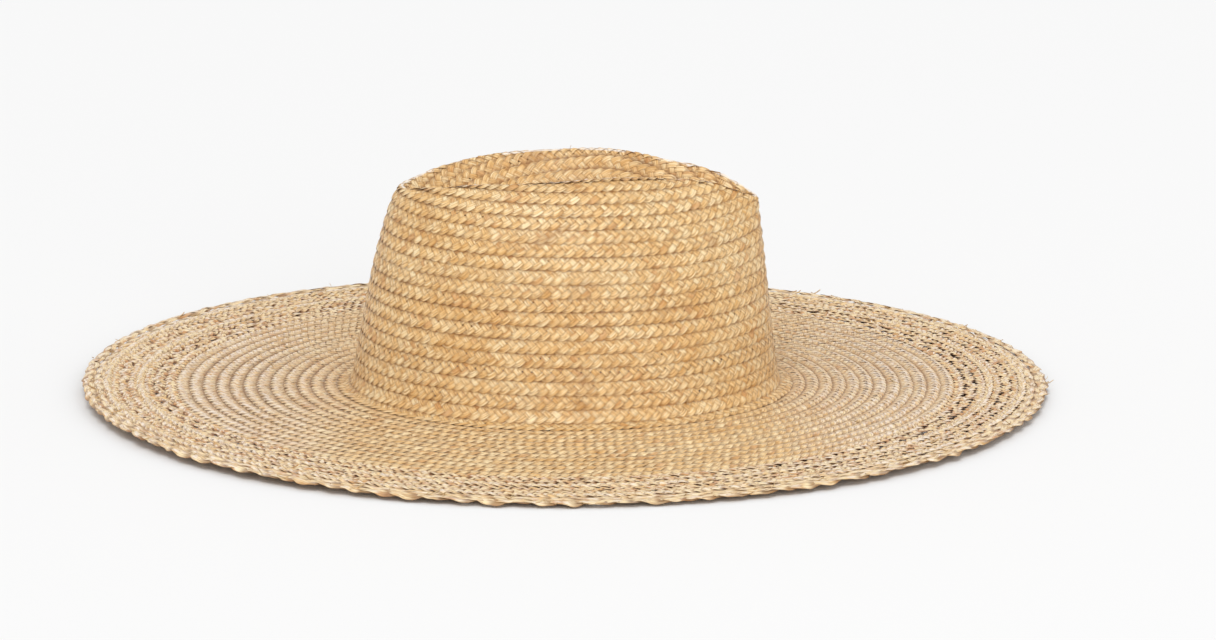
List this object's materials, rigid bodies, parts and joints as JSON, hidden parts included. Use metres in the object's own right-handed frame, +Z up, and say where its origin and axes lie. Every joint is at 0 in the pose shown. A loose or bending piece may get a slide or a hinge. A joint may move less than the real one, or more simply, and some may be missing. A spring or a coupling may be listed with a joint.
{
  "type": "wide-brimmed straw hat",
  "caption": "Plaited raffia hat with a teardrop crown and a wide, flat brim that ends in pierced openwork and a jagged edge braid.",
  "frame": {"origin": "middle of the brim's outline, on the surface that the hat stands on", "axes": "+X to the front of the hat, +Y across it to its left side, +Z up"},
  "size_m": [0.4644, 0.4232, 0.1088],
  "materials": {
    "crown_straw": "plaited raffia, warm straw, softly glossy",
    "brim_straw": "plaited raffia, paler straw with a pale sheen",
    "openwork_straw": "open raffia plait, pale straw with a pale sheen",
    "edge_straw": "coarse raffia plait with a jagged edge"
  },
  "bodies": {
    "root": {"crown": "crown_straw", "brim": "brim_straw", "openwork_inner": "openwork_straw", "openwork_outer": "openwork_straw", "edge_braid": "edge_straw"}
  },
  "joints": []
}
